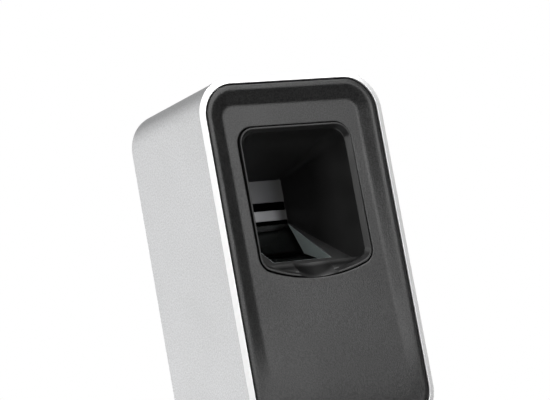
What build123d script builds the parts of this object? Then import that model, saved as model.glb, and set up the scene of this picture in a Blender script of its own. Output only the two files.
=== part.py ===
from build123d import *
import os

# Wall-mounted fingerprint scanner terminal.
# Millimetres. X to the right seen from the front, Y into the wall, Z up.
# The wall is the plane Y = 0 and the origin is the centre of the wall bracket's back face,
# at mid-height of the housing. The terminal's front faces -Y.

# ---------------------------------------------------------------- driving dimensions
HOUSING_W = 50.0
HOUSING_H = 86.0
HOUSING_D = 35.0
CORNER_R = 9.5
SHELL_T = 1.4
CHAMFER_ACROSS = 1.25
CHAMFER_DEEP = 0.43

BRACKET_T = 1.0
BRACKET_GAP = 0.15
LIFT = 4.0  # upward travel that frees the terminal from the bracket hooks

BACK = -(BRACKET_T + BRACKET_GAP)
FRONT = BACK - HOUSING_D

LEDGE_W = 1.2
LEDGE_T = 1.2
GASKET_T = 0.6
BEZEL_T = 3.0
COVER_T = 2.0

BEZEL_GAP = 0.35
RIM_W = 1.25
RIM_CROWN_W, RIM_CROWN_DEEP = 0.9, 0.15
SLOPE_W = 3.3
DISH_DEPTH = 1.6

WINDOW_W = 31.0
WINDOW_TOP = 31.2
WINDOW_CORNER_Z = -2.1
WINDOW_BOTTOM = -5.35
WINDOW_TOP_R = 4.2
WINDOW_BOTTOM_R = 3.6
HOOD_GAP = 0.25
HOOD_WALL = 1.3

PLATEN_W = 16.0
PLATEN_NEAR = (-29.85, -0.95)  # Y and Z of the glass platen's near edge
PLATEN_FAR = (-12.15, 11.65)  # Y and Z of its far edge

BOSS_X, BOSS_Z = 17.2, 35.8
HOOD_BOSS_X = 18.2
HOOD_BOSS_ZS = (28.0, -5.0)
POST_X, POST_Z = 17.5, 24.0

BOARD_FRONT = -8.75
BOARD_T = 1.6
BOARD_BACK = BOARD_FRONT + BOARD_T

HOOK_X = 12.0
HOOK_W = 6.0
HOOK_ZS = (16.0, -20.0)
HOOK_T = 1.0
TONGUE_RISE = 3.6
TONGUE_BACK = BACK - COVER_T - 0.3

WALL_HOLE_Z = 30.0
WALL_HOLE_R = 2.1
CABLE_Z = -10.0
CABLE_W, CABLE_H = 15.0, 12.4

LOCK_Y = -6.2
FLANGE_Z = -35.5
LOCK_SHANK_R = 1.45
LOCK_HEAD_R = 2.7
LOCK_HEAD_H = 1.45

TAMPER_X, TAMPER_Z = -12.0, 4.0
TAMPER_ROD_R = 1.1
TAMPER_BORE_R = 1.9
TAMPER_TIP = -BRACKET_T - 0.06

CAMERA_Y = -21.5
BARREL_R = 4.5

# ---------------------------------------------------------------- derived positions
BEZEL_BACK = FRONT + BEZEL_T
FRONT_LEDGE = BEZEL_BACK + GASKET_T
COVER_FRONT = BACK - COVER_T
REAR_LEDGE = COVER_FRONT - GASKET_T
INNER_W = HOUSING_W - 2 * SHELL_T
INNER_H = HOUSING_H - 2 * SHELL_T
INNER_R = CORNER_R - SHELL_T
FLOOR_Z = -INNER_H / 2
BEZEL_W = INNER_W - 2 * BEZEL_GAP
BEZEL_H = INNER_H - 2 * BEZEL_GAP
BEZEL_R = INNER_R - BEZEL_GAP
DISH_W = BEZEL_W - 2 * RIM_W
DISH_H = BEZEL_H - 2 * RIM_W
DISH_R = BEZEL_R - RIM_W
CORNERS = [(x, z) for x in (-BOSS_X, BOSS_X) for z in (-BOSS_Z, BOSS_Z)]
HOOD_BOSSES = [(x, z) for x in (-HOOD_BOSS_X, HOOD_BOSS_X) for z in HOOD_BOSS_ZS]
POSTS = [(x, z) for x in (-POST_X, POST_X) for z in (-POST_Z, POST_Z)]
HOOKS = [(x, z) for x in (-HOOK_X, HOOK_X) for z in HOOK_ZS]
PLATEN_SLOPE = (PLATEN_FAR[1] - PLATEN_NEAR[1]) / (PLATEN_FAR[0] - PLATEN_NEAR[0])


# ---------------------------------------------------------------- helpers
def facing_front(y):
    """The plane at depth y whose sketches are seen from the front (x = X, y = Z)."""
    return Plane.XZ.offset(-y)


def slab(width, height, radius, back, front, spots=((0, 0),), mode=Mode.ADD):
    """A rounded rectangle seen from the front, solid from back to front."""
    with BuildSketch(facing_front(back)) as outline:
        with Locations(*spots):
            RectangleRounded(width, height, radius)
    extrude(outline.sketch, amount=back - front, mode=mode)


def rods(radius, back, front, spots, mode=Mode.ADD):
    """Round bars along Y at (x, z) spots, from back to front."""
    with BuildSketch(facing_front(back)) as outline:
        with Locations(*spots):
            Circle(radius)
    extrude(outline.sketch, amount=back - front, mode=mode)


def posts(radius, bottom, top, spots, mode=Mode.ADD):
    """Round bars along Z at (x, y) spots, from bottom to top."""
    with BuildSketch(Plane.XY.offset(bottom)) as outline:
        with Locations(*spots):
            Circle(radius)
    extrude(outline.sketch, amount=top - bottom, mode=mode)


def block(x, y, z, mode=Mode.ADD):
    """A box given by its (low, high) ranges in X, Y and Z."""
    middle = [(low + high) / 2 for low, high in (x, y, z)]
    with Locations(tuple(middle)):
        Box(x[1] - x[0], y[1] - y[0], z[1] - z[0], mode=mode)


def side_profile(points, half_width, mode=Mode.ADD):
    """A (y, z) polygon seen from the side, solid across x = -half_width..half_width."""
    with BuildSketch(Plane.YZ) as outline:
        Polygon(*points, align=None)
    extrude(outline.sketch, amount=half_width, both=True, mode=mode)


def window_outline(inset, y):
    """The finger window's outline at depth y, set in all round by inset."""
    half = WINDOW_W / 2 - inset
    with BuildSketch(facing_front(y)) as outline:
        with BuildLine():
            Polyline(
                (-half, WINDOW_CORNER_Z + inset),
                (-half, WINDOW_TOP - inset),
                (half, WINDOW_TOP - inset),
                (half, WINDOW_CORNER_Z + inset),
            )
            ThreePointArc(
                (half, WINDOW_CORNER_Z + inset),
                (0, WINDOW_BOTTOM + inset),
                (-half, WINDOW_CORNER_Z + inset),
            )
        make_face()
        fillet(outline.vertices().group_by(Axis.Y)[-1], WINDOW_TOP_R - inset)
        fillet(outline.vertices().group_by(Axis.Y)[0], WINDOW_BOTTOM_R - inset)
    return outline.sketch


def window_slab(inset, back, front, mode=Mode.ADD):
    """The finger window's outline, set in by inset, solid from back to front."""
    extrude(window_outline(inset, back), amount=back - front, mode=mode)


def platen_z(y, below=0.0):
    """Height of the platen's plane at depth y, or of a plane parallel to it underneath."""
    drop = below * (1 + PLATEN_SLOPE**2) ** 0.5
    return PLATEN_NEAR[1] + PLATEN_SLOPE * (y - PLATEN_NEAR[0]) - drop


# ---------------------------------------------------------------- housing shell
with BuildPart() as housing_shell:
    slab(HOUSING_W, HOUSING_H, CORNER_R, BACK, FRONT)
    front_face = housing_shell.faces().sort_by(Axis.Y)[0]
    chamfer(front_face.edges(), CHAMFER_ACROSS, CHAMFER_DEEP, reference=front_face)
    ledge_w = INNER_W - 2 * LEDGE_W
    ledge_h = INNER_H - 2 * LEDGE_W
    slab(ledge_w, ledge_h, INNER_R - LEDGE_W, BACK, FRONT, mode=Mode.SUBTRACT)
    slab(INNER_W, INNER_H, INNER_R, FRONT_LEDGE, FRONT, mode=Mode.SUBTRACT)
    slab(INNER_W, INNER_H, INNER_R, REAR_LEDGE - LEDGE_T, FRONT_LEDGE + LEDGE_T, mode=Mode.SUBTRACT)
    slab(INNER_W, INNER_H, INNER_R, BACK, REAR_LEDGE, mode=Mode.SUBTRACT)
    block((-5.6, 5.6), (REAR_LEDGE - LEDGE_T, REAR_LEDGE), (FLOOR_Z, FLOOR_Z + 3), mode=Mode.SUBTRACT)
    posts(LOCK_HEAD_R + 0.3, -HOUSING_H / 2 - 1, FLOOR_Z + 1, [(0, LOCK_Y)], mode=Mode.SUBTRACT)

# ---------------------------------------------------------------- front bezel
# The face pad is recessed at the top of the front and comes level with the rim lower down,
# so the slope between rim and pad fades; at the chin the pad turns over backwards.
# Each pair is a height and the pad's depth behind the rim there.
PAD_DEPTHS = [
    (40.5, 1.55),
    (31.0, 1.48),
    (23.0, 1.40),
    (11.0, 1.20),
    (0.0, 1.00),
    (-10.0, 0.84),
    (-18.0, 0.55),
    (-25.0, 0.20),
    (-32.0, -0.10),
    (-36.5, -0.05),
    (-40.5, 0.35),
]

with BuildPart() as face_pad:
    for pad_z, depth in PAD_DEPTHS:
        with BuildSketch(Plane.XY.offset(pad_z)):
            Polygon(
                (-DISH_W / 2, FRONT),
                (-DISH_W / 2 + SLOPE_W, FRONT + depth),
                (DISH_W / 2 - SLOPE_W, FRONT + depth),
                (DISH_W / 2, FRONT),
                (DISH_W / 2, FRONT + BEZEL_T - 0.5),
                (-DISH_W / 2, FRONT + BEZEL_T - 0.5),
                align=None,
            )
    loft()
    slab(DISH_W, DISH_H, DISH_R, BEZEL_BACK, FRONT - 2, mode=Mode.INTERSECT)

SKIRT_W = INNER_W - 2 * LEDGE_W - 0.6
SKIRT_H = INNER_H - 2 * LEDGE_W - 0.6
SKIRT_R = INNER_R - LEDGE_W - 0.3
SKIRT_T = 1.4
SKIRT_BACK = -30.0
BEZEL_BOSS_BACK = -20.2
HOOD_BOSS_BACK = -29.15

with BuildPart() as front_bezel:
    slab(BEZEL_W, BEZEL_H, BEZEL_R, BEZEL_BACK, FRONT)
    rim_face = front_bezel.faces().sort_by(Axis.Y)[0]
    chamfer(rim_face.edges(), RIM_CROWN_W, RIM_CROWN_DEEP, reference=rim_face)
    with BuildSketch(facing_front(FRONT)) as dish_mouth:
        RectangleRounded(DISH_W, DISH_H, DISH_R)
    with BuildSketch(facing_front(FRONT + DISH_DEPTH)) as dish_floor:
        RectangleRounded(DISH_W - 2 * SLOPE_W, DISH_H - 2 * SLOPE_W, DISH_R - 1.5)
    loft(mode=Mode.SUBTRACT)
    add(face_pad.part)
    slab(SKIRT_W, SKIRT_H, SKIRT_R, SKIRT_BACK, BEZEL_BACK)
    slab(
        SKIRT_W - 2 * SKIRT_T,
        SKIRT_H - 2 * SKIRT_T,
        SKIRT_R - SKIRT_T,
        SKIRT_BACK,
        BEZEL_BACK,
        mode=Mode.SUBTRACT,
    )
    rods(3.2, BEZEL_BOSS_BACK, BEZEL_BACK, CORNERS)
    rods(1.05, BEZEL_BOSS_BACK, BEZEL_BOSS_BACK - 8, CORNERS, mode=Mode.SUBTRACT)
    rods(2.2, HOOD_BOSS_BACK, BEZEL_BACK, HOOD_BOSSES)
    rods(0.8, HOOD_BOSS_BACK, HOOD_BOSS_BACK - 3.6, HOOD_BOSSES, mode=Mode.SUBTRACT)
    window_slab(0, BEZEL_BACK + 1, FRONT - 2, mode=Mode.SUBTRACT)

with BuildPart() as bezel_gasket:
    slab(BEZEL_W - 0.3, BEZEL_H - 0.3, BEZEL_R - 0.15, FRONT_LEDGE, BEZEL_BACK)
    slab(SKIRT_W + 0.4, SKIRT_H + 0.4, SKIRT_R + 0.2, FRONT_LEDGE, BEZEL_BACK, mode=Mode.SUBTRACT)

# ---------------------------------------------------------------- sensor hood
# A funnel from the window to the platen, with a finger scoop in its lower lip.
CAVITY_BACK = -11.8
CAVITY_FRONT = FRONT + 2.1
SHELF_Z = PLATEN_NEAR[1]
SCOOP_R = 9.7
SCOOP_TILT = 47.0
NECK_BACK = FRONT + 4.5
LIP_FRONT = FRONT + 0.9
LIP_BACK = FRONT + 2.2
LIP_W = 0.35
LIP_INSET = 1.1
RAMP_FOOT = (LIP_FRONT, -4.7)  # the lower lip rises from here to the platen
RAMP_TOP_Y = -31.5
PRISM_FRONT = PLATEN_NEAR[0] + 1.3
FLANGE_BACK = HOOD_BOSS_BACK + 1.5
HOOD_BACK = CAVITY_BACK + HOOD_WALL
EAR_X, EAR_Z = 13.2, -6.5
EARS = [(-EAR_X, EAR_Z), (EAR_X, EAR_Z)]
ENGINE_FRONT = -30.75


def funnel(front_y, back_y, grow):
    """The tapering space between the window and the back of the hood, grown all round."""
    for y, width, bottom, top, radius in (
        (front_y, 28.4, -6.0, 29.9, 3.4),
        (back_y, 16.6, 8.0, 22.7, 0.5),
    ):
        with BuildSketch(facing_front(y)) as section:
            with Locations((0, (bottom + top) / 2)):
                RectangleRounded(width + 2 * grow, top - bottom + 2 * grow, radius + grow)
        yield section.sketch


with BuildPart() as cavity:
    loft(list(funnel(CAVITY_FRONT, CAVITY_BACK, 0)))
    window_slab(HOOD_GAP + LIP_INSET, CAVITY_BACK, CAVITY_FRONT, mode=Mode.INTERSECT)
    side_profile(
        [
            (FRONT - 1, RAMP_FOOT[1]),
            RAMP_FOOT,
            (RAMP_TOP_Y, SHELF_Z),
            (PLATEN_NEAR[0], SHELF_Z),
            PLATEN_FAR,
            (CAVITY_BACK + 1, PLATEN_FAR[1]),
            (CAVITY_BACK + 1, 40),
            (FRONT - 1, 40),
        ],
        20,
        mode=Mode.INTERSECT,
    )

scoop_end = Plane(origin=(0, PLATEN_NEAR[0], SHELF_Z), x_dir=(1, 0, 0), z_dir=(0, -1, 0))
scoop_axis = scoop_end.rotated((SCOOP_TILT, 0, 0))
with BuildPart() as scoop:
    with BuildSketch(scoop_axis):
        with Locations((0, SCOOP_R)):
            Circle(SCOOP_R)
    extrude(amount=12, both=True)
    block((-12, 12), (FRONT - 2, PLATEN_NEAR[0]), (-12, 8), mode=Mode.INTERSECT)

with BuildPart() as sensor_hood:
    loft(list(funnel(NECK_BACK, HOOD_BACK, HOOD_WALL - 0.5)))
    slab(2 * HOOD_BOSS_X + 4.2, 40.5, 2.0, FLANGE_BACK, HOOD_BOSS_BACK, [(0, 11.6)])
    side_profile(
        [
            (FRONT, -12),
            (PLATEN_NEAR[0] + 2.5, -12),
            (PLATEN_NEAR[0] + 2.5, platen_z(PLATEN_NEAR[0] + 2.5, HOOD_WALL)),
            (HOOD_BACK + 1, platen_z(HOOD_BACK + 1, HOOD_WALL)),
            (HOOD_BACK + 1, 40),
            (FRONT, 40),
        ],
        30,
        mode=Mode.INTERSECT,
    )
    side_profile(
        [
            (ENGINE_FRONT, -12),
            (ENGINE_FRONT, platen_z(ENGINE_FRONT, HOOD_WALL)),
            (ENGINE_FRONT + 8, platen_z(ENGINE_FRONT + 8, HOOD_WALL)),
            (ENGINE_FRONT + 8, -12),
        ],
        11,
        mode=Mode.SUBTRACT,
    )
    window_slab(HOOD_GAP, NECK_BACK, LIP_FRONT)
    rods(0.95, FLANGE_BACK, HOOD_BOSS_BACK, HOOD_BOSSES, mode=Mode.SUBTRACT)
    rods(0.8, FLANGE_BACK, HOOD_BOSS_BACK, EARS, mode=Mode.SUBTRACT)
    add(cavity.part, mode=Mode.SUBTRACT)
    window_slab(HOOD_GAP + LIP_W, LIP_FRONT, FRONT - 1, mode=Mode.SUBTRACT)
    lip_edges = [
        window_outline(HOOD_GAP + LIP_W, LIP_FRONT),
        window_outline(HOOD_GAP + LIP_INSET, LIP_BACK),
    ]
    loft(lip_edges, mode=Mode.SUBTRACT)
    add(scoop.part, mode=Mode.SUBTRACT)
    block(
        (-PLATEN_W / 2 - 0.05, PLATEN_W / 2 + 0.05),
        (PRISM_FRONT, HOOD_BACK + 1),
        (SHELF_Z - 12, PLATEN_FAR[1]),
        mode=Mode.SUBTRACT,
    )
    # Two bright strips on the back wall, with a groove between them and one below.
    for groove in ((15.2, 17.2), (PLATEN_FAR[1], 12.7)):
        block((-8.2, 8.2), (CAVITY_BACK - 0.4, CAVITY_BACK + 0.8), groove, mode=Mode.SUBTRACT)

with BuildPart() as hood_screws:
    rods(1.6, FLANGE_BACK + 1.0, FLANGE_BACK, HOOD_BOSSES)
    rods(0.8, FLANGE_BACK, HOOD_BOSS_BACK - 3.4, HOOD_BOSSES)
    rods(0.75, FLANGE_BACK + 1.5, FLANGE_BACK + 0.5, HOOD_BOSSES, mode=Mode.SUBTRACT)

# ---------------------------------------------------------------- optical engine
FRAME_FRONT, FRAME_BACK = ENGINE_FRONT + 0.15, -11.5
FRAME_W = 20.8
FRAME_FLOOR = -14.0
SKIRT_FLOOR = -23.0
CAMERA_T = 1.2

PRISM_FLOOR = -3.6
PRISM_OUTLINE = [
    (PRISM_FRONT, PRISM_FLOOR),
    (PRISM_FRONT, platen_z(PRISM_FRONT)),
    PLATEN_FAR,
    (PLATEN_FAR[0], PRISM_FLOOR),
]

with BuildPart() as optical_prism:
    side_profile(PRISM_OUTLINE, PLATEN_W / 2)

with BuildPart() as optics_frame:
    side_profile(
        [
            (FRAME_FRONT, FRAME_FLOOR),
            (FRAME_FRONT, platen_z(FRAME_FRONT, HOOD_WALL) - 0.1),
            (FRAME_BACK, platen_z(FRAME_BACK, HOOD_WALL) - 0.1),
            (FRAME_BACK, FRAME_FLOOR),
        ],
        FRAME_W / 2,
    )
    block((-9.8, 9.8), (FRAME_FRONT + 0.6, -13.0), (SKIRT_FLOOR, FRAME_FLOOR))
    block((-EAR_X - 2.2, EAR_X + 2.2), (FLANGE_BACK, FLANGE_BACK + 1.6), (EAR_Z - 2.2, EAR_Z + 2.2))
    side_profile(PRISM_OUTLINE, PLATEN_W / 2 + 0.02, mode=Mode.SUBTRACT)
    block((-6.6, 6.6), (-27.4, -15.8), (FRAME_FLOOR + 1.5, 2), mode=Mode.SUBTRACT)
    block((-6.6, 6.6), (-16, FRAME_BACK + 1), (-2.0, 8.0), mode=Mode.SUBTRACT)
    posts(BARREL_R, SKIRT_FLOOR - 1, FRAME_FLOOR + 2, [(0, CAMERA_Y)], mode=Mode.SUBTRACT)
    block((-6, 6), (CAMERA_Y - 6, CAMERA_Y + 6), (SKIRT_FLOOR, SKIRT_FLOOR + 3.4), mode=Mode.SUBTRACT)
    rods(0.95, FLANGE_BACK + 2, FLANGE_BACK - 1, EARS, mode=Mode.SUBTRACT)
    posts(0.8, SKIRT_FLOOR, SKIRT_FLOOR + 5, [(-8, -28.6), (8, -14.6)], mode=Mode.SUBTRACT)

with BuildPart() as optics_screws:
    rods(1.5, FLANGE_BACK + 2.6, FLANGE_BACK + 1.6, EARS)
    rods(0.8, FLANGE_BACK + 1.6, HOOD_BOSS_BACK - 0.2, EARS)

with BuildPart() as lens_barrel:
    posts(BARREL_R, SKIRT_FLOOR + 3.6, FRAME_FLOOR + 1.4, [(0, CAMERA_Y)])
    posts(3.2, SKIRT_FLOOR + 3, FRAME_FLOOR + 0.6, [(0, CAMERA_Y)], mode=Mode.SUBTRACT)
    posts(2.2, FRAME_FLOOR, FRAME_FLOOR + 2, [(0, CAMERA_Y)], mode=Mode.SUBTRACT)

LENS_R = 3.2
LENS_Z = FRAME_FLOOR - 1.6
LENS_HALF_T = 1.4
LENS_CURVE_R = 6.1
with BuildPart() as objective_lens:
    posts(LENS_R, LENS_Z - LENS_HALF_T, LENS_Z + LENS_HALF_T, [(0, CAMERA_Y)])
    for side in (-1, 1):
        with Locations((0, CAMERA_Y, LENS_Z + side * (LENS_HALF_T - LENS_CURVE_R))):
            Sphere(LENS_CURVE_R, mode=Mode.INTERSECT)

with BuildPart() as camera_board:
    block((-9.4, 9.4), (-30.2, -12.6), (SKIRT_FLOOR - CAMERA_T, SKIRT_FLOOR))
    camera_fixings = [(-8, -28.6), (8, -14.6)]
    posts(0.95, SKIRT_FLOOR - 2, SKIRT_FLOOR + 1, camera_fixings, mode=Mode.SUBTRACT)

with BuildPart() as image_sensor:
    block((-3.6, 3.6), (CAMERA_Y - 3.1, CAMERA_Y + 3.1), (SKIRT_FLOOR, SKIRT_FLOOR + 0.9))
    block((-2.6, 2.6), (CAMERA_Y - 2.1, CAMERA_Y + 2.1), (SKIRT_FLOOR + 0.9, SKIRT_FLOOR + 1.3))

with BuildPart() as camera_board_screws:
    posts(1.5, SKIRT_FLOOR - CAMERA_T - 1, SKIRT_FLOOR - CAMERA_T, camera_fixings)
    posts(0.8, SKIRT_FLOOR - CAMERA_T, SKIRT_FLOOR + 4.5, camera_fixings)

with BuildPart() as camera_connector:
    block((-5, 5), (-15.0, -13.0), (SKIRT_FLOOR - CAMERA_T - 1.3, SKIRT_FLOOR - CAMERA_T))

FLEX_Z = SKIRT_FLOOR - CAMERA_T - 0.65
FLEX_Y = BOARD_FRONT - 0.8
SOCKET_TOP = -26.8
with BuildPart() as camera_flex_cable:
    with BuildSketch(Plane.YZ):
        with BuildLine() as flex_route:
            FilletPolyline((-13.0, FLEX_Z), (FLEX_Y, FLEX_Z), (FLEX_Y, SOCKET_TOP), radius=0.9)
        trace(flex_route.line, line_width=0.25)
    extrude(amount=4, both=True)

# ---------------------------------------------------------------- platen lighting
LED_BOARD = (FRAME_BACK, FRAME_BACK + 1.0)
LED_XS = (-4.8, -1.6, 1.6, 4.8)
with BuildPart() as led_board:
    block((-9, 9), LED_BOARD, (-2.4, 9.4))

with BuildPart() as illumination_leds:
    for led_x in LED_XS:
        block((led_x - 0.8, led_x + 0.8), (FRAME_BACK - 0.5, FRAME_BACK), (3.4, 4.6))

with BuildPart() as led_header:
    block((-4, 4), (LED_BOARD[1], BOARD_FRONT), (-1.8, 0.6))

# ---------------------------------------------------------------- main board
with BuildPart() as main_board:
    slab(41, 59, 1.5, BOARD_BACK, BOARD_FRONT, [(0, 0.5)])
    rods(1.0, BOARD_BACK + 1, BOARD_FRONT - 1, POSTS, mode=Mode.SUBTRACT)

with BuildPart() as board_screws:
    rods(1.6, BOARD_FRONT, BOARD_FRONT - 1.0, POSTS)
    rods(0.8, BOARD_BACK + 2.4, BOARD_FRONT, POSTS)

with BuildPart() as processor_chip:
    block((-5, 5), (BOARD_FRONT - 0.9, BOARD_FRONT), (14, 24))

with BuildPart() as memory_chip:
    block((9, 14), (BOARD_FRONT - 0.9, BOARD_FRONT), (12, 18))

with BuildPart() as power_capacitors:
    rods(2.4, BOARD_FRONT, BOARD_FRONT - 5.5, [(15.6, 4.5), (15.6, -2.5)])

with BuildPart() as buzzer:
    rods(4.6, BOARD_FRONT, BOARD_FRONT - 4.4, [(-15.4, -13.5)])
    rods(0.9, BOARD_FRONT - 3.4, BOARD_FRONT - 5, [(-15.4, -13.5)], mode=Mode.SUBTRACT)

with BuildPart() as flex_socket:
    block((-5, 5), (BOARD_FRONT - 1.6, BOARD_FRONT), (SOCKET_TOP - 2.0, SOCKET_TOP))

TERMINAL_SCREWS = [(x, CABLE_Z - 1.9) for x in (-5.1, -1.7, 1.7, 5.1)]
TERMINAL_FACE = BOARD_BACK + 2.7
with BuildPart() as wiring_terminal:
    block((-7.4, 7.4), (BOARD_BACK, TERMINAL_FACE), (CABLE_Z - 4, CABLE_Z + 4))
    rods(1.1, TERMINAL_FACE + 1, TERMINAL_FACE - 1.6, TERMINAL_SCREWS, mode=Mode.SUBTRACT)

# ---------------------------------------------------------------- rear cover
SLOT_TOPS = [z + HOOK_T + 0.1 for z in HOOK_ZS]
SLOT_H = HOOK_T + LIFT + 0.5
PAD_TOP = FLOOR_Z + 1.75
POCKET_R = 4.6

with BuildPart() as rear_cover:
    slab(INNER_W - 0.6, INNER_H - 0.6, INNER_R - 0.3, BACK, COVER_FRONT)
    rods(3.5, COVER_FRONT, BEZEL_BOSS_BACK + 0.1, CORNERS)
    rods(2.0, COVER_FRONT, BOARD_BACK, POSTS)
    for screw_z in (-WALL_HOLE_Z, WALL_HOLE_Z):
        slab(13, 2 * POCKET_R + LIFT + 4, 2.5, COVER_FRONT, COVER_FRONT - 1.2, [(0, screw_z - LIFT / 2)])
    block((-5.2, 5.2), (LOCK_Y - 3.2, COVER_FRONT), (FLOOR_Z + 0.05, PAD_TOP))
    block((-5.2, 5.2), (COVER_FRONT, BACK), (FLOOR_Z + 0.3, PAD_TOP))
    for screw_z in (-WALL_HOLE_Z, WALL_HOLE_Z):
        with BuildSketch(facing_front(BACK)) as pocket:
            with Locations((0, screw_z - LIFT / 2)):
                SlotOverall(2 * POCKET_R + LIFT, 2 * POCKET_R, rotation=90)
        extrude(amount=COVER_T + 0.4, mode=Mode.SUBTRACT)
    rods(2.6, BACK, -17.5, CORNERS, mode=Mode.SUBTRACT)
    rods(1.35, -17, -21, CORNERS, mode=Mode.SUBTRACT)
    rods(0.8, COVER_FRONT - 1.5, BOARD_BACK, POSTS, mode=Mode.SUBTRACT)
    for slot_top in SLOT_TOPS:
        for slot_x in (-HOOK_X, HOOK_X):
            block(
                (slot_x - HOOK_W / 2 - 0.4, slot_x + HOOK_W / 2 + 0.4),
                (COVER_FRONT - 1, BACK + 1),
                (slot_top - SLOT_H, slot_top),
                mode=Mode.SUBTRACT,
            )
    slab(CABLE_W, CABLE_H, 1.5, BACK + 1, COVER_FRONT - 1, [(0, CABLE_Z)], mode=Mode.SUBTRACT)
    rods(TAMPER_ROD_R + 0.08, BACK + 1, COVER_FRONT - 1, [(TAMPER_X, TAMPER_Z)], mode=Mode.SUBTRACT)
    block(
        (-6.3, 6.3),
        (COVER_FRONT - 2, BACK + 1),
        (PAD_TOP - 0.4, FLANGE_Z + HOOK_T + 0.3),
        mode=Mode.SUBTRACT,
    )
    posts(LOCK_SHANK_R + 0.15, FLOOR_Z - 1, PAD_TOP + 1, [(0, LOCK_Y)], mode=Mode.SUBTRACT)

with BuildPart() as rear_cover_screws:
    rods(2.25, -15.9, -17.5, CORNERS)
    rods(1.05, -17.5, BEZEL_BOSS_BACK - 7.0, CORNERS)
    rods(0.9, -15, -16.7, CORNERS, mode=Mode.SUBTRACT)

with BuildPart() as rear_seal:
    slab(INNER_W - 0.8, INNER_H - 0.8, INNER_R - 0.4, COVER_FRONT, REAR_LEDGE)
    slab(INNER_W - 2.2, INNER_H - 2.2, INNER_R - 1.1, COVER_FRONT, REAR_LEDGE, mode=Mode.SUBTRACT)
    block((-5.6, 5.6), (REAR_LEDGE - 1, COVER_FRONT + 1), (FLOOR_Z - 1, FLOOR_Z + 3), mode=Mode.SUBTRACT)

with BuildPart() as cable_grommet:
    slab(CABLE_W, CABLE_H, 1.5, BACK - 0.15, COVER_FRONT, [(0, CABLE_Z)])
    slab(CABLE_W + 2.4, CABLE_H + 2.4, 2.0, COVER_FRONT, COVER_FRONT - 0.9, [(0, CABLE_Z)])
    slab(CABLE_W - 3.4, CABLE_H - 4.4, 1.2, BACK, COVER_FRONT - 1, [(0, CABLE_Z)], mode=Mode.SUBTRACT)

# ---------------------------------------------------------------- tamper switch
SWITCH_FACE = -4.3
COLLAR_BACK = SWITCH_FACE - 0.25
COLLAR_FRONT = COLLAR_BACK - 0.5
BORE_FLOOR = BOARD_BACK + 0.4
tamper_spot = [(TAMPER_X, TAMPER_Z)]

with BuildPart() as tamper_switch_body:
    slab(6.4, 6.4, 0.6, SWITCH_FACE, BOARD_BACK, tamper_spot)
    rods(TAMPER_BORE_R, SWITCH_FACE + 1, BORE_FLOOR, tamper_spot, mode=Mode.SUBTRACT)

with BuildPart() as tamper_plunger:
    rods(TAMPER_BORE_R - 0.08, COLLAR_BACK, COLLAR_FRONT, tamper_spot)
    rods(TAMPER_ROD_R, TAMPER_TIP, COLLAR_BACK, tamper_spot)
    fillet(tamper_plunger.edges().sort_by(Axis.Y)[-1], 0.3)

SPRING_WIRE = 0.12
with BuildPart() as tamper_spring:
    spring_length = COLLAR_FRONT - BORE_FLOOR - 2 * SPRING_WIRE
    spring_start = Plane(origin=(TAMPER_X, COLLAR_FRONT - SPRING_WIRE, TAMPER_Z), z_dir=(0, -1, 0))
    coil = spring_start.from_local_coords(Helix(spring_length / 3, spring_length, 1.25))
    with BuildSketch(Plane(origin=coil @ 0, z_dir=coil % 0)):
        Circle(SPRING_WIRE)
    sweep(path=coil)

# ---------------------------------------------------------------- wall bracket and lock screw
HOOK_TIP = HOOK_T + TONGUE_RISE
with BuildPart() as wall_bracket:
    slab(41, 78, 6, 0, -BRACKET_T)
    for hook_x, hook_z in HOOKS:
        block(
            (hook_x - HOOK_W / 2, hook_x + HOOK_W / 2),
            (-BRACKET_T - 1, 1),
            (hook_z + HOOK_T, hook_z + HOOK_TIP + 1.2),
            mode=Mode.SUBTRACT,
        )
        block(
            (hook_x - HOOK_W / 2, hook_x + HOOK_W / 2),
            (TONGUE_BACK - HOOK_T, 0),
            (hook_z, hook_z + HOOK_T),
        )
        block(
            (hook_x - HOOK_W / 2, hook_x + HOOK_W / 2),
            (TONGUE_BACK - HOOK_T, TONGUE_BACK),
            (hook_z, hook_z + HOOK_TIP),
        )
    block((-5.5, 5.5), (LOCK_Y - 3, 0), (FLANGE_Z, FLANGE_Z + HOOK_T))
    block((-5.5, 5.5), (-BRACKET_T - 1, 1), (-40, FLANGE_Z), mode=Mode.SUBTRACT)
    slab(CABLE_W + 1, 16, 2, 1, -2, [(0, CABLE_Z)], mode=Mode.SUBTRACT)
    rods(WALL_HOLE_R, 1, -2, [(0, WALL_HOLE_Z), (0, -WALL_HOLE_Z)], mode=Mode.SUBTRACT)
    posts(LOCK_SHANK_R + 0.05, FLANGE_Z - 1, FLANGE_Z + 2, [(0, LOCK_Y)], mode=Mode.SUBTRACT)

with BuildPart() as lock_screw:
    posts(LOCK_HEAD_R, FLOOR_Z + 0.05 - LOCK_HEAD_H, FLOOR_Z + 0.05, [(0, LOCK_Y)])
    posts(LOCK_SHANK_R, FLOOR_Z + 0.05, FLANGE_Z + 2.0, [(0, LOCK_Y)])
    with BuildSketch(Plane.XY.offset(FLOOR_Z + 0.05 - LOCK_HEAD_H)):
        with Locations((0, LOCK_Y)):
            RegularPolygon(1.2, 6)
    extrude(amount=0.9, mode=Mode.SUBTRACT)

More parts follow.
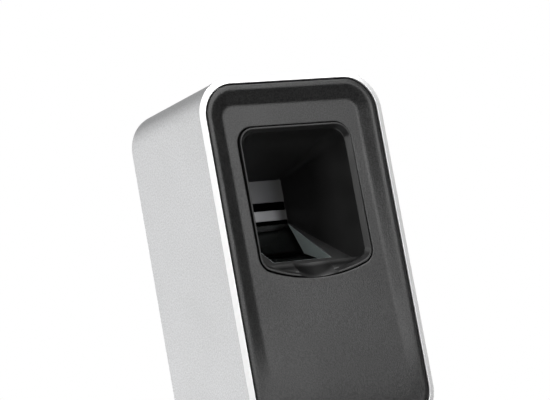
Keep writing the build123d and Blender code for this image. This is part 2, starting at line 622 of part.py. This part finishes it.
# ---------------------------------------------------------------- write every piece
PIECES = {
    "housing_shell": housing_shell,
    "front_bezel": front_bezel,
    "bezel_gasket": bezel_gasket,
    "sensor_hood": sensor_hood,
    "hood_screws": hood_screws,
    "optical_prism": optical_prism,
    "optics_frame": optics_frame,
    "optics_screws": optics_screws,
    "lens_barrel": lens_barrel,
    "objective_lens": objective_lens,
    "camera_board": camera_board,
    "image_sensor": image_sensor,
    "camera_board_screws": camera_board_screws,
    "camera_connector": camera_connector,
    "camera_flex_cable": camera_flex_cable,
    "led_board": led_board,
    "illumination_leds": illumination_leds,
    "led_header": led_header,
    "main_board": main_board,
    "board_screws": board_screws,
    "processor_chip": processor_chip,
    "memory_chip": memory_chip,
    "power_capacitors": power_capacitors,
    "buzzer": buzzer,
    "flex_socket": flex_socket,
    "wiring_terminal": wiring_terminal,
    "rear_cover": rear_cover,
    "rear_cover_screws": rear_cover_screws,
    "rear_seal": rear_seal,
    "cable_grommet": cable_grommet,
    "tamper_switch_body": tamper_switch_body,
    "tamper_plunger": tamper_plunger,
    "tamper_spring": tamper_spring,
    "wall_bracket": wall_bracket,
    "lock_screw": lock_screw,
}

os.makedirs("parts", exist_ok=True)
for name, piece in PIECES.items():
    piece.part.label = name
    export_step(piece.part, f"parts/{name}.step")
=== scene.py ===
import math

import bmesh
import bpy
from mathutils import Matrix, Vector


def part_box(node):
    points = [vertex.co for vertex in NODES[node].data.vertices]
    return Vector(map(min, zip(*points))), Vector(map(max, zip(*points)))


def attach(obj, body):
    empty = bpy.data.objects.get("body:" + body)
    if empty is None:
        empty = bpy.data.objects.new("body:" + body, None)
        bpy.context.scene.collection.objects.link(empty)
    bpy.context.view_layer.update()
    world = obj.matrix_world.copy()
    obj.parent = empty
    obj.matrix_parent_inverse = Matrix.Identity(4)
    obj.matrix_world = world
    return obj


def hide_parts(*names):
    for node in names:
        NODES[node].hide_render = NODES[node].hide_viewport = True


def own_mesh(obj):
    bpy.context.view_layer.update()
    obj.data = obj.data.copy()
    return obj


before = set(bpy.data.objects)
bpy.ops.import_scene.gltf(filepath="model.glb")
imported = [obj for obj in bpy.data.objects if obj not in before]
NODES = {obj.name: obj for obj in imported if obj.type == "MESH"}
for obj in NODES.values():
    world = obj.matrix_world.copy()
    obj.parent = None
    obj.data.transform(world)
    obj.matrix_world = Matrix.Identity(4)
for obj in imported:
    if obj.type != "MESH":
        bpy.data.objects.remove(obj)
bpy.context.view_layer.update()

MM = 0.001


# ---------------------------------------------------------------- node helpers
class Graph:
    """A material's node tree, with short calls for the nodes used here."""

    def __init__(self, name):
        self.material = bpy.data.materials.new(name)
        self.material.use_nodes = True
        self.tree = self.material.node_tree
        self.shader = self.tree.nodes["Principled BSDF"]
        self.where = self.node("ShaderNodeTexCoord").outputs["Object"]

    def node(self, kind, **settings):
        made = self.tree.nodes.new(kind)
        for name, value in settings.items():
            setattr(made, name, value)
        return made

    def put(self, value, socket):
        """Sets a socket to a constant, or links it to another node's output."""
        if isinstance(value, bpy.types.NodeSocket):
            self.tree.links.new(value, socket)
        else:
            socket.default_value = value

    def set(self, **values):
        for name, value in values.items():
            self.put(value, self.shader.inputs[name.replace("_", " ")])

    def noise(self, scale, detail=2.0, rough=0.5, where=None):
        made = self.node("ShaderNodeTexNoise")
        self.put(where or self.where, made.inputs["Vector"])
        made.inputs["Scale"].default_value = scale
        made.inputs["Detail"].default_value = detail
        made.inputs["Roughness"].default_value = rough
        return made.outputs["Fac"]

    def voronoi(self, scale):
        made = self.node("ShaderNodeTexVoronoi", feature="F1")
        self.put(self.where, made.inputs["Vector"])
        made.inputs["Scale"].default_value = scale
        return made.outputs["Distance"]

    def math(self, operation, a, b=0.0):
        made = self.node("ShaderNodeMath", operation=operation)
        self.put(a, made.inputs[0])
        self.put(b, made.inputs[1])
        return made.outputs[0]

    def fit(self, value, low, high, to_low=0.0, to_high=1.0):
        """Maps low..high smoothly on to to_low..to_high."""
        made = self.node("ShaderNodeMapRange", interpolation_type="SMOOTHSTEP")
        for socket, number in zip(made.inputs[:5], (value, low, high, to_low, to_high)):
            self.put(number, socket)
        return made.outputs[0]

    def mix(self, amount, a, b):
        """Colour a where amount is 0, colour b where it is 1."""
        made = self.node("ShaderNodeMix", data_type="RGBA")
        self.put(amount, made.inputs["Factor"])
        self.put(a, made.inputs["A"])
        self.put(b, made.inputs["B"])
        return made.outputs["Result"]

    def blend(self, amount, a, b):
        """The same as mix, for plain numbers."""
        made = self.node("ShaderNodeMix", data_type="FLOAT")
        self.put(amount, made.inputs["Factor"])
        self.put(a, made.inputs["A"])
        self.put(b, made.inputs["B"])
        return made.outputs["Result"]

    def along(self, direction):
        """How far a point of the surface lies along a direction, in metres."""
        made = self.node("ShaderNodeVectorMath", operation="DOT_PRODUCT")
        self.put(self.where, made.inputs[0])
        made.inputs[1].default_value = direction
        return made.outputs["Value"]

    def rounded(self, radius_mm):
        """The surface's direction with every edge rounded by radius_mm."""
        made = self.node("ShaderNodeBevel", samples=6)
        made.inputs["Radius"].default_value = radius_mm * MM
        return made.outputs["Normal"]

    def bump(self, height, depth_mm, round_mm=0.12):
        """A fine relief depth_mm deep, over edges rounded by round_mm."""
        made = self.node("ShaderNodeBump")
        made.inputs["Distance"].default_value = depth_mm * MM
        self.put(height, made.inputs["Height"])
        self.put(self.rounded(round_mm), made.inputs["Normal"])
        self.put(made.outputs["Normal"], self.shader.inputs["Normal"])

    def edges(self, radius_mm=0.2):
        """1 on a sharp edge, where a surface rubs smooth first, and 0 away from it."""
        made = self.node("ShaderNodeVectorMath", operation="DOT_PRODUCT")
        self.put(self.rounded(radius_mm), made.inputs[0])
        self.put(self.node("ShaderNodeNewGeometry").outputs["True Normal"], made.inputs[1])
        return self.fit(made.outputs["Value"], 0.995, 0.86)


def grey(value):
    return (value, value, value, 1.0)


def dress(material, *nodes):
    """Gives CAD pieces a material."""
    for name in nodes:
        mesh = NODES[name].data
        mesh.materials.clear()
        mesh.materials.append(material)


def add_object(name, data):
    """Puts a new object into the scene."""
    made = bpy.data.objects.new(name, data)
    bpy.context.scene.collection.objects.link(made)
    return made


def add_mesh(name, mesh):
    """Turns a finished bmesh into a smooth-shaded object."""
    bmesh.ops.recalc_face_normals(mesh, faces=mesh.faces)
    data = bpy.data.meshes.new(name)
    mesh.to_mesh(data)
    mesh.free()
    data.shade_smooth()
    return add_object(name, data)


# ---------------------------------------------------------------- materials
# Millimetres. The aluminium's cut edge reaches CHAMFER_DEEP back from the front.
CHAMFER_DEEP = 0.47
# The spark-eroded texture's cell size and depth.
GRAIN, GRAIN_DEEP = 0.28, 0.035
# The hood's back wall lies WALL_BEHIND the platen's upper edge. Its two paler strips, painted light, end at
# these heights above that edge, and fade out to the right into painted shade between the two STRIP_FADE
# distances.
WALL_BEHIND, LOWER_STRIP_TOP, UPPER_STRIP_TOP = 0.35, 3.7, 11.1
STRIP_FADE = (4.0, 7.4)
# The matt scoop, painted near-black as shade, starts SCOOP_START behind the front, and reaches SCOOP_TOP
# above the prism's floor.
SCOOP_START, SCOOP_TOP = 2.6, 1.9


def blasted_aluminium(name, front_y):
    """Bead-blasted anodised aluminium, with a bright cut chamfer round its front edge."""
    g = Graph(name)
    cloud = g.noise(70, 3)
    grain = g.noise(2600, 3, 0.65)
    pits = g.voronoi(3400)
    chamfer_y = front_y + CHAMFER_DEEP * MM
    chamfer = g.fit(g.along((0, 1, 0)), chamfer_y + 0.03 * MM, chamfer_y - 0.03 * MM)
    satin = g.mix(cloud, (0.66, 0.665, 0.67, 1), (0.74, 0.745, 0.755, 1))
    satin = g.mix(g.fit(grain, 0.35, 0.65, 0.0, 0.55), satin, grey(0.50))
    satin = g.mix(g.math("MULTIPLY", g.edges(0.15), 0.3), satin, grey(0.92))
    g.set(Base_Color=g.mix(chamfer, satin, grey(0.97)))
    g.set(Metallic=g.blend(chamfer, 0.96, 0.55))
    g.set(Roughness=g.blend(chamfer, g.fit(grain, 0.2, 0.8, 0.42, 0.60), 0.46))
    g.bump(g.blend(chamfer, g.math("ADD", grain, g.math("MULTIPLY", pits, 0.5)), 0.6), 0.035)
    return g.material


def moulded_black(name, shade, gloss, round_mm=0.12):
    """Black plastic with a spark-eroded texture, polished along its edges."""
    g = Graph(name)
    cells = g.voronoi(1 / (GRAIN * MM))
    fine = g.noise(0.8 / (GRAIN * MM), 3, 0.6)
    height = g.math("ADD", g.math("MULTIPLY", cells, 0.6), fine)
    cloud = g.noise(60, 3)
    tone = g.mix(g.fit(fine, 0.35, 0.65), grey(shade * 0.2), grey(shade * 2.6))
    worn = g.edges()
    g.set(Base_Color=g.mix(g.math("MULTIPLY", worn, 0.5), tone, grey(shade * 4)))
    sheen = g.fit(cloud, 0.3, 0.7, gloss - 0.03, gloss + 0.04)
    g.set(Roughness=g.math("SUBTRACT", sheen, g.math("MULTIPLY", worn, 0.08)))
    g.bump(height, GRAIN_DEEP, round_mm)
    return g.material


def hood_plastic(name, front_y, prism_low, platen_top):
    """Smooth black plastic, painted lighter deeper inside as painted light, with a scoop painted matt
    near-black as painted shade; its back wall has two paler strips of painted light, which fade to the
    right into painted shade, and grooves painted matt black as painted shade.

    prism_low and platen_top are the lowest and highest corners of the prism's box.
    """
    g = Graph(name)
    x, y, z = g.along((1, 0, 0)), g.along((0, 1, 0)), g.along((0, 0, 1))
    wall_y = platen_top.y + WALL_BEHIND * MM
    groove = g.math("GREATER_THAN", y, wall_y + 0.25 * MM)
    wall = g.math("LESS_THAN", g.math("ABSOLUTE", g.math("SUBTRACT", y, wall_y)), 0.1 * MM)
    lower_z = platen_top.z + LOWER_STRIP_TOP * MM
    upper_z = platen_top.z + UPPER_STRIP_TOP * MM
    lower = g.math("MULTIPLY", wall, g.fit(z, lower_z + 0.05 * MM, lower_z - 0.05 * MM))
    upper = g.math("MULTIPLY", wall, g.fit(z, upper_z + 0.1 * MM, upper_z - 0.1 * MM))
    cloud = g.noise(160, 3)
    fine = g.noise(3000, 3, 0.6)
    # Painted light: the plastic is painted lighter deeper inside the hood, standing in for the light in the
    # cavity.
    inside = g.fit(y, front_y + 3.0 * MM, front_y + 9.0 * MM)
    darker, lighter = g.mix(inside, grey(0.009), grey(0.022)), g.mix(inside, grey(0.017), grey(0.034))
    tone = g.mix(cloud, darker, lighter)
    # Painted shade: the scoop under the prism is painted near-black, and it is also made matt.
    scoop_y, scoop_z = front_y + SCOOP_START * MM, prism_low.z + SCOOP_TOP * MM
    low = g.fit(z, scoop_z + 0.5 * MM, scoop_z - 0.5 * MM)
    scoop = g.math("MULTIPLY", low, g.fit(y, scoop_y - 0.8 * MM, scoop_y + 0.8 * MM))
    tone = g.mix(scoop, tone, grey(0.004))
    matt = g.math("MAXIMUM", groove, g.math("MULTIPLY", scoop, 0.8))
    # Painted light: the back wall's strips are painted paler, as if lit through the window, and the fade
    # darkens them to the right as painted shade.
    painted_shadow_fade = g.fit(x, STRIP_FADE[0] * MM, STRIP_FADE[1] * MM, 1.0, 0.0)
    tone = g.mix(g.math("MULTIPLY", upper, painted_shadow_fade), tone, (0.050, 0.051, 0.058, 1))
    tone = g.mix(g.math("MULTIPLY", lower, painted_shadow_fade), tone, (0.290, 0.294, 0.307, 1))
    # Painted shade: the grooves behind the back wall are painted near-black, and made matt below.
    g.set(Base_Color=g.mix(groove, tone, grey(0.001)))
    g.set(Roughness=g.fit(cloud, 0.3, 0.7, 0.33, 0.42))
    g.set(Specular_IOR_Level=g.blend(matt, 0.5, 0.0))
    g.bump(fine, 0.008, 0.3)
    return g.material


def pressed_steel(name, shade, rough):
    """Zinc-plated or stainless steel with a faint rolled grain."""
    g = Graph(name)
    spangle = g.voronoi(450)
    stretch = g.node("ShaderNodeMapping")
    g.put(g.where, stretch.inputs["Vector"])
    stretch.inputs["Scale"].default_value = (1, 1, 0.04)
    rolled = g.noise(9000, 2, where=stretch.outputs[0])
    g.set(Base_Color=g.mix(g.fit(spangle, 0.1, 0.7), grey(shade), grey(shade * 1.18)))
    g.set(Metallic=1.0)
    g.set(Roughness=g.fit(rolled, 0.3, 0.7, rough - 0.06, rough + 0.06))
    g.bump(rolled, 0.004)
    return g.material


def rubber(name, shade):
    """Matt black rubber."""
    g = Graph(name)
    fine = g.noise(4000, 4, 0.6)
    g.set(Base_Color=g.mix(fine, grey(shade * 0.7), grey(shade * 1.4)))
    g.set(Roughness=g.fit(fine, 0.3, 0.7, 0.68, 0.82))
    g.bump(fine, 0.01)
    return g.material


def plain_moulding(name, colour, rough=0.45):
    """Smooth plastic in one colour."""
    g = Graph(name)
    fine = g.noise(3000, 3)
    dark = tuple(c * 0.85 for c in colour) + (1,)
    light = tuple(min(1.0, c * 1.12) for c in colour) + (1,)
    g.set(Base_Color=g.mix(fine, dark, light))
    g.set(Roughness=g.fit(fine, 0.3, 0.7, rough - 0.05, rough + 0.05))
    g.bump(fine, 0.006)
    return g.material


def circuit_board(name):
    """Green solder mask over faint copper tracks."""
    g = Graph(name)
    made = g.node("ShaderNodeTexBrick", offset=0.5)
    g.put(g.where, made.inputs["Vector"])
    made.inputs["Scale"].default_value = 420
    made.inputs["Mortar Size"].default_value = 0.06
    tracks = made.outputs["Fac"]
    fine = g.noise(900, 3)
    mask = g.mix(fine, (0.006, 0.10, 0.045, 1), (0.01, 0.15, 0.07, 1))
    g.set(Base_Color=g.mix(tracks, mask, (0.03, 0.26, 0.12, 1)))
    g.set(Roughness=g.fit(fine, 0.3, 0.7, 0.28, 0.4))
    g.bump(tracks, 0.02)
    return g.material


def prism_glass(name, half_w, near, far):
    """Clear glass: the platen is polished, the sides and front are ground and given a painted glow standing
    in for the LEDs' light, the other faces are black.

    near and far are the (y, z) of the platen's lower and upper edges.
    """
    g = Graph(name)
    run, rise = far[0] - near[0], far[1] - near[1]
    length = math.hypot(run, rise)
    across = (0, -rise / length, run / length)
    level = near[0] * across[1] + near[1] * across[2]
    under = g.math("LESS_THAN", g.along(across), level - 0.02 * MM)
    front = g.math("LESS_THAN", g.along((0, 1, 0)), near[0] + 0.02 * MM)
    side = g.math("GREATER_THAN", g.math("ABSOLUTE", g.along((1, 0, 0))), half_w - 0.02 * MM)
    fine = g.noise(5000, 2)
    frost = g.mix(fine, (0.62, 0.68, 0.68, 1), (0.78, 0.84, 0.84, 1))
    ground = g.math("MAXIMUM", side, front)
    painted = g.mix(ground, grey(0.004), frost)
    covered = g.math("MAXIMUM", under, ground)
    g.set(Base_Color=g.mix(covered, (0.90, 0.97, 0.95, 1), painted))
    g.set(Roughness=g.blend(covered, g.fit(fine, 0.3, 0.7, 0.015, 0.03), 0.8))
    g.set(IOR=1.5)
    g.set(Transmission_Weight=g.blend(covered, 1.0, 0.0))
    # Painted glow: the ground faces emit a faint light, standing in for the LEDs' light in the prism.
    g.set(Emission_Color=(0.92, 1.0, 1.0, 1))
    painted_led_glow = g.fit(fine, 0.3, 0.7, 0.034, 0.044)
    g.set(Emission_Strength=g.math("MULTIPLY", g.math("ADD", ground, front), painted_led_glow))
    return g.material


def lens_glass(name):
    """Coated clear glass."""
    g = Graph(name)
    fine = g.noise(900, 2)
    g.set(Base_Color=g.mix(fine, (0.80, 0.86, 0.95, 1), (0.88, 0.92, 0.98, 1)))
    g.set(Roughness=g.fit(fine, 0.3, 0.7, 0.01, 0.03))
    g.set(IOR=1.6)
    g.set(Transmission_Weight=1.0)
    return g.material


FLOOR_GLOW = 0.55


def pale_floor(name):
    """A plain studio floor, as bright to the camera as the backdrop needs."""
    g = Graph(name)
    fine = g.noise(40, 2)
    g.set(Base_Color=g.mix(fine, grey(0.84), grey(0.88)))
    g.set(Roughness=g.fit(fine, 0.3, 0.7, 0.76, 0.84))
    g.bump(fine, 0.1)
    g.set(Emission_Color=grey(1.0))
    seen_directly = g.node("ShaderNodeLightPath").outputs["Is Camera Ray"]
    g.set(Emission_Strength=g.math("MULTIPLY", seen_directly, FLOOR_GLOW))
    return g.material


# ---------------------------------------------------------------- the front moulding
# Millimetres here: x to the right, z up, depth measured back from the housing's front plane.
BEZEL_HALF_W, BEZEL_HALF_H, BEZEL_R = 23.25, 41.25, 7.75
BEZEL_T = 3.0
CROWN_W, CROWN_DEEP, EDGE_R = 1.0, 0.17, 0.22
SLOPE_START, SLOPE_W, SLOPE_ROUND = 1.0, 4.0, 0.22
WINDOW_HALF_W, WINDOW_TOP, WINDOW_TOP_R = 15.5, 31.2, 4.2
ARC_CENTRE_Z, ARC_R, WINDOW_BOTTOM_R = 33.24, 38.59, 2.15
WINDOW_EDGE_R = 0.35
SKIRT_OUTSIDE, SKIRT_INSIDE = 1.15, 2.55  # insets from the outline
SKIRT_DEPTH, HOOD_BOSS_DEPTH = 6.15, 7.0
# Where the skin's rings lie: insets from the outline, then equal steps, then gaps round the window.
RING_INSETS = [
    0.0, 0.02, 0.06, 0.12, 0.22, 0.4, 0.6, 0.8, 1.0, 1.2,
    1.5, 1.9, 2.4, 3.0, 3.6, 4.1, 4.4, 4.7, 5.0, 5.3,
]
FACE_STEPS = 26
RING_GAPS = [0.6, 0.36, 0.28, 0.2, 0.12, 0.06, 0.02, 0.0]
SPOKES = 720
SPOKES_FROM = (0.0, 13.5)
# Screw bosses: places (x, z), then radius, hole radius and how deep the hole goes.
CORNER_BOSSES = [(x, z) for x in (-17.2, 17.2) for z in (-35.8, 35.8)]
CORNER_BOSS = (3.2, 1.05, 5.0)
HOOD_BOSSES = [(x, z) for x in (-18.2, 18.2) for z in (-5.0, 28.0)]
HOOD_BOSS = (2.2, 0.8, 3.0)
BOSS_SIDES = 40
# Heights and how far the face lies behind the rim there.
FACE_DEPTHS = [
    (44.0, 1.58), (31.0, 1.48), (23.0, 1.40), (11.0, 1.20), (0.0, 1.00), (-10.0, 0.84), (-18.0, 0.55),
    (-25.0, 0.20), (-32.0, -0.08), (-36.5, -0.02), (-40.5, 0.35), (-44.0, 0.80),
]


def corner(a, b, radius):
    """Signed distance to a rounded corner between two sides, given the distance to each."""
    a, b = a + radius, b + radius
    return min(max(a, b), 0.0) + math.hypot(max(a, 0.0), max(b, 0.0)) - radius


def off_bezel(x, z):
    """Signed distance from the black front's outline, negative inside it."""
    return corner(abs(x) - BEZEL_HALF_W, abs(z) - BEZEL_HALF_H, BEZEL_R)


def off_window(x, z):
    """Signed distance from the window's outline, negative in the opening."""
    side = abs(x) - WINDOW_HALF_W
    arc = math.hypot(x, z - ARC_CENTRE_Z) - ARC_R
    return max(corner(side, z - WINDOW_TOP, WINDOW_TOP_R), corner(side, arc, WINDOW_BOTTOM_R))


def ring(distance, level):
    """Points where distance(x, z) equals level, one on each spoke."""
    points = []
    for i in range(SPOKES):
        angle = 2 * math.pi * i / SPOKES
        way = (math.cos(angle), math.sin(angle))
        near, far = 2.0, 75.0
        while far - near > 0.0005:
            middle = (near + far) / 2
            if distance(SPOKES_FROM[0] + way[0] * middle, SPOKES_FROM[1] + way[1] * middle) < level:
                near = middle
            else:
                far = middle
        points.append((SPOKES_FROM[0] + way[0] * near, SPOKES_FROM[1] + way[1] * near))
    return points


def face_depth(z):
    """A smooth curve through FACE_DEPTHS."""
    table = FACE_DEPTHS
    k = next(i for i in range(len(table) - 1) if z >= table[i + 1][0])
    slopes = []
    for j in (k, k + 1):
        before, after = table[max(j - 1, 0)], table[min(j + 1, len(table) - 1)]
        slopes.append((after[1] - before[1]) / (after[0] - before[0]))
    (z0, d0), (z1, d1) = table[k], table[k + 1]
    span = z1 - z0
    t = (z - z0) / span
    return (
        d0 * (2 * t**3 - 3 * t**2 + 1)
        + d1 * (3 * t**2 - 2 * t**3)
        + span * (slopes[0] * (t**3 - 2 * t**2 + t) + slopes[1] * (t**3 - t**2))
    )


def eased(t, a):
    """0 to 1 in a straight run whose two ends are rounded over the share a."""
    t = min(max(t, 0.0), 1.0)
    if t < a:
        return t * t / (2 * a) / (1 - a)
    if t < 1 - a:
        return (t - a / 2) / (1 - a)
    return 1 - (1 - t) ** 2 / (2 * a) / (1 - a)


def rolled(distance, radius):
    """How far a rounded edge has turned back at a distance from the edge."""
    short = min(max(1 - distance / radius, 0.0), 1.0)
    return radius * (1 - math.sqrt(1 - short * short))


def front_depth(x, z):
    """How far the front's surface lies behind the rim at a point."""
    inset = -off_bezel(x, z)
    crown = CROWN_DEEP * max(1 - inset / CROWN_W, 0.0) ** 1.6
    slope = eased((inset - SLOPE_START) / SLOPE_W, SLOPE_ROUND)
    edges = rolled(max(inset, 0.0), EDGE_R) + rolled(max(off_window(x, z), 0.0), WINDOW_EDGE_R)
    return crown + slope * face_depth(z) + edges


def bridge(mesh, loops, closed=False):
    """Quads between loops of equal length, in order."""
    pairs = list(zip(loops, loops[1:] + loops[:1] if closed else loops[1:]))
    for one, two in pairs:
        for i in range(len(one)):
            j = (i + 1) % len(one)
            mesh.faces.new((one[i], one[j], two[j], two[i]))


def circle(x, z, radius):
    """Points round a screw boss or its hole."""
    turns = [2 * math.pi * i / BOSS_SIDES for i in range(BOSS_SIDES)]
    return [(x + radius * math.cos(t), z + radius * math.sin(t)) for t in turns]


def build_front(front_y, skirt_back, corner_boss_back, hood_boss_back):
    """The black front as one moulding: rim, sloped frame, face, window, skirt and screw bosses."""
    mesh = bmesh.new()

    def loop(points, depths):
        return [mesh.verts.new((x * MM, front_y + d * MM, z * MM)) for (x, z), d in zip(points, depths)]

    outer = [ring(off_bezel, -inset) for inset in RING_INSETS]
    edge = [ring(off_window, gap) for gap in RING_GAPS]
    between = []
    for k in range(1, FACE_STEPS):
        pairs = zip(outer[-1], edge[0])
        between.append([
            (a[0] + (b[0] - a[0]) * k / FACE_STEPS, a[1] + (b[1] - a[1]) * k / FACE_STEPS) for a, b in pairs
        ])
    skin = [loop(points, [front_depth(x, z) for x, z in points]) for points in outer + between + edge]
    flat = [BEZEL_T] * SPOKES
    bridge(mesh, skin + [loop(edge[-1], flat), loop(outer[0], flat)], closed=True)

    deep = [(skirt_back - front_y) / MM] * SPOKES
    outside, inside = ring(off_bezel, -SKIRT_OUTSIDE), ring(off_bezel, -SKIRT_INSIDE)
    bridge(mesh, [loop(outside, flat), loop(outside, deep), loop(inside, deep), loop(inside, flat)])

    bosses = [(place, CORNER_BOSS, corner_boss_back) for place in CORNER_BOSSES]
    bosses += [(place, HOOD_BOSS, hood_boss_back) for place in HOOD_BOSSES]
    for (x, z), (radius, hole, bored), end_y in bosses:
        end = (end_y - front_y) / MM
        wall, bore = circle(x, z, radius), circle(x, z, hole)
        stages = [(wall, BEZEL_T), (wall, end), (bore, end), (bore, end - bored)]
        rows = [loop(points, [depth] * BOSS_SIDES) for points, depth in stages]
        bridge(mesh, rows)
        mesh.faces.new(rows[-1])
    return add_mesh("front_moulding", mesh)


# ---------------------------------------------------------------- the tamper switch's spring
SPRING_TURNS, SPRING_WIRE, SPRING_R = 3.5, 0.12, 1.25
SPRING_STEPS, WIRE_SIDES = 126, 10


def build_spring(x, z, fixed_y, free_y):
    """A coil between two depths, in millimetres."""
    mesh = bmesh.new()
    span = fixed_y - free_y
    reach = abs(span) - 2 * SPRING_WIRE
    away = math.copysign(1, span)
    loops = []
    for k in range(SPRING_STEPS + 1):
        share = k / SPRING_STEPS
        turn = 2 * math.pi * SPRING_TURNS * share
        y = free_y + away * (SPRING_WIRE + reach * share)
        loop = []
        for i in range(WIRE_SIDES):
            around = 2 * math.pi * i / WIRE_SIDES
            radius = SPRING_R + SPRING_WIRE * math.cos(around)
            point = (
                x + radius * math.cos(turn),
                y + SPRING_WIRE * math.sin(around),
                z + radius * math.sin(turn),
            )
            loop.append(mesh.verts.new(tuple(value * MM for value in point)))
        loops.append(loop)
    bridge(mesh, loops)
    mesh.faces.new(loops[0])
    mesh.faces.new(loops[-1])
    return add_mesh("tamper_coil", mesh)


spring_low, spring_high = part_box("tamper_spring")
spring_x = (spring_low.x + spring_high.x) / 2 / MM
spring_z = (spring_low.z + spring_high.z) / 2 / MM
tamper_coil = build_spring(spring_x, spring_z, spring_low.y / MM, spring_high.y / MM)
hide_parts("tamper_spring")
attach(tamper_coil, "terminal")
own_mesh(tamper_coil)

# ---------------------------------------------------------------- dress the CAD pieces
shell_low, shell_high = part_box("housing_shell")
prism_low, prism_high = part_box("optical_prism")
front_moulding = build_front(
    shell_low.y,
    shell_low.y + SKIRT_DEPTH * MM,
    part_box("front_bezel")[1].y,
    shell_low.y + HOOD_BOSS_DEPTH * MM,
)
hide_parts("front_bezel")
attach(front_moulding, "terminal")
dress(blasted_aluminium("blasted_aluminium", shell_low.y), "housing_shell")
front_moulding.data.materials.append(moulded_black("bezel_black", 0.009, 0.31, round_mm=0.05))
dress(hood_plastic("hood_black", shell_low.y, prism_low, prism_high), "sensor_hood")
dress(moulded_black("cover_black", 0.022, 0.5), "rear_cover")
dress(
    plain_moulding("inner_black", (0.012, 0.012, 0.013)),
    "optics_frame",
    "lens_barrel",
    "led_header",
    "buzzer",
    "tamper_switch_body",
)
dress(
    plain_moulding("chip_black", (0.02, 0.02, 0.022), 0.5),
    "processor_chip",
    "memory_chip",
    "image_sensor",
)
dress(plain_moulding("connector_cream", (0.62, 0.58, 0.46)), "camera_connector", "flex_socket")
dress(plain_moulding("terminal_green", (0.02, 0.22, 0.09)), "wiring_terminal")
dress(plain_moulding("led_clear", (0.85, 0.84, 0.72), 0.2), "illumination_leds")
dress(plain_moulding("film_amber", (0.45, 0.20, 0.04), 0.25), "camera_flex_cable")
dress(plain_moulding("plunger_white", (0.65, 0.65, 0.62), 0.4), "tamper_plunger")
dress(rubber("black_rubber", 0.02), "bezel_gasket", "rear_seal", "cable_grommet")
dress(circuit_board("green_board"), "camera_board", "led_board", "main_board")
dress(pressed_steel("zinc_sheet", 0.55, 0.36), "wall_bracket")
dress(
    pressed_steel("zinc_screw", 0.6, 0.3),
    "hood_screws",
    "optics_screws",
    "camera_board_screws",
    "board_screws",
    "rear_cover_screws",
    "power_capacitors",
)
tamper_coil.data.materials.append(pressed_steel("spring_wire", 0.6, 0.28))
dress(pressed_steel("stainless", 0.62, 0.25), "lock_screw")
corners = [vertex.co for vertex in NODES["optical_prism"].data.vertices]
far_edge = max(corners, key=lambda co: round(co.z, 5))
near_y = min(co.y for co in corners)
near_edge = max((co for co in corners if co.y < near_y + 0.01 * MM), key=lambda co: co.z)
dress(
    prism_glass("prism_glass", prism_high.x, (near_edge.y, near_edge.z), (far_edge.y, far_edge.z)),
    "optical_prism",
)
dress(lens_glass("lens_glass"), "objective_lens")


# ---------------------------------------------------------------- camera, light and floor
CAMERA_AT = Vector((-0.31004, -0.48571, -0.11603)) + Vector((0, shell_low.y, shell_high.z))
CAMERA_RIGHT = Vector((0.85067, -0.49553, -0.17552))
CAMERA_UP = Vector((0.07341, -0.21864, 0.97304))
LENS_MM, SENSOR_MM = 163.97, 36.0

camera = add_object("camera", bpy.data.cameras.new("camera"))
camera.data.lens = LENS_MM
camera.data.sensor_width = SENSOR_MM
camera.data.clip_start = 0.01
camera.data.clip_end = 20
back = CAMERA_RIGHT.cross(CAMERA_UP)
turned = Matrix((CAMERA_RIGHT, CAMERA_UP, back)).transposed().to_4x4()
camera.matrix_world = Matrix.Translation(CAMERA_AT) @ turned
bpy.context.scene.camera = camera


# Name, azimuth and elevation in degrees, distance, width, height and radiance. Azimuth 0 is straight in
# front, positive to the right.
SOFTBOXES = [
    ("key", 16, 17, 1.2, 0.84, 0.8, 3.35),
    ("high", 25, 58, 1.2, 1.0, 0.8, 4.2),
    ("left_wall", -135, 8, 1.2, 1.6, 1.6, 1.0),
    ("left_front", -74, 20, 1.3, 0.6, 1.0, 3.5),
    ("behind", 120, 10, 1.4, 0.9, 1.2, 1.0),
    ("rear", 172, -8, 1.2, 1.0, 0.8, 2.2),
    ("ceiling", 0, 89, 1.6, 3.0, 3.0, 0.3),
]


def add_softbox(name, azimuth, elevation, distance, width, height, radiance):
    """An area light aimed at the object."""
    lamp = bpy.data.lights.new(name, "AREA")
    lamp.shape = "RECTANGLE"
    lamp.size, lamp.size_y = width, height
    lamp.energy = radiance * math.pi * width * height
    made = add_object(name, lamp)
    a, e = math.radians(azimuth), math.radians(elevation)
    way = Vector((math.sin(a) * math.cos(e), -math.cos(a) * math.cos(e), math.sin(e)))
    made.location = way * distance
    made.rotation_euler = way.to_track_quat("Z", "Y").to_euler()


for softbox in SOFTBOXES:
    add_softbox(*softbox)

# The surroundings light the object faintly, and look white to the camera.
SURROUNDINGS, BACKDROP = 0.08, 1.0
world = bpy.data.worlds.new("studio")
world.use_nodes = True
bpy.context.scene.world = world
tree = world.node_tree
ambient = tree.nodes["Background"]
ambient.inputs["Color"].default_value = (1, 1, 1, 1)
ambient.inputs["Strength"].default_value = SURROUNDINGS
backdrop = tree.nodes.new("ShaderNodeBackground")
backdrop.inputs["Color"].default_value = (1, 1, 1, 1)
backdrop.inputs["Strength"].default_value = BACKDROP
seen = tree.nodes.new("ShaderNodeLightPath")
either = tree.nodes.new("ShaderNodeMixShader")
tree.links.new(seen.outputs["Is Camera Ray"], either.inputs["Fac"])
tree.links.new(ambient.outputs[0], either.inputs[1])
tree.links.new(backdrop.outputs[0], either.inputs[2])
tree.links.new(either.outputs[0], tree.nodes["World Output"].inputs["Surface"])

FLOOR_Z, FLOOR_REACH = -1.2, 4.0
floor_mesh = bpy.data.meshes.new("floor")
floor_corners = [
    (side_x * FLOOR_REACH, side_y * FLOOR_REACH, FLOOR_Z)
    for side_x, side_y in ((-1, -1), (1, -1), (1, 1), (-1, 1))
]
floor_mesh.from_pydata(floor_corners, [], [(0, 1, 2, 3)])
floor = add_object("floor", floor_mesh)
floor_mesh.materials.append(pale_floor("pale_floor"))

bpy.context.scene.view_settings.view_transform = "Standard"
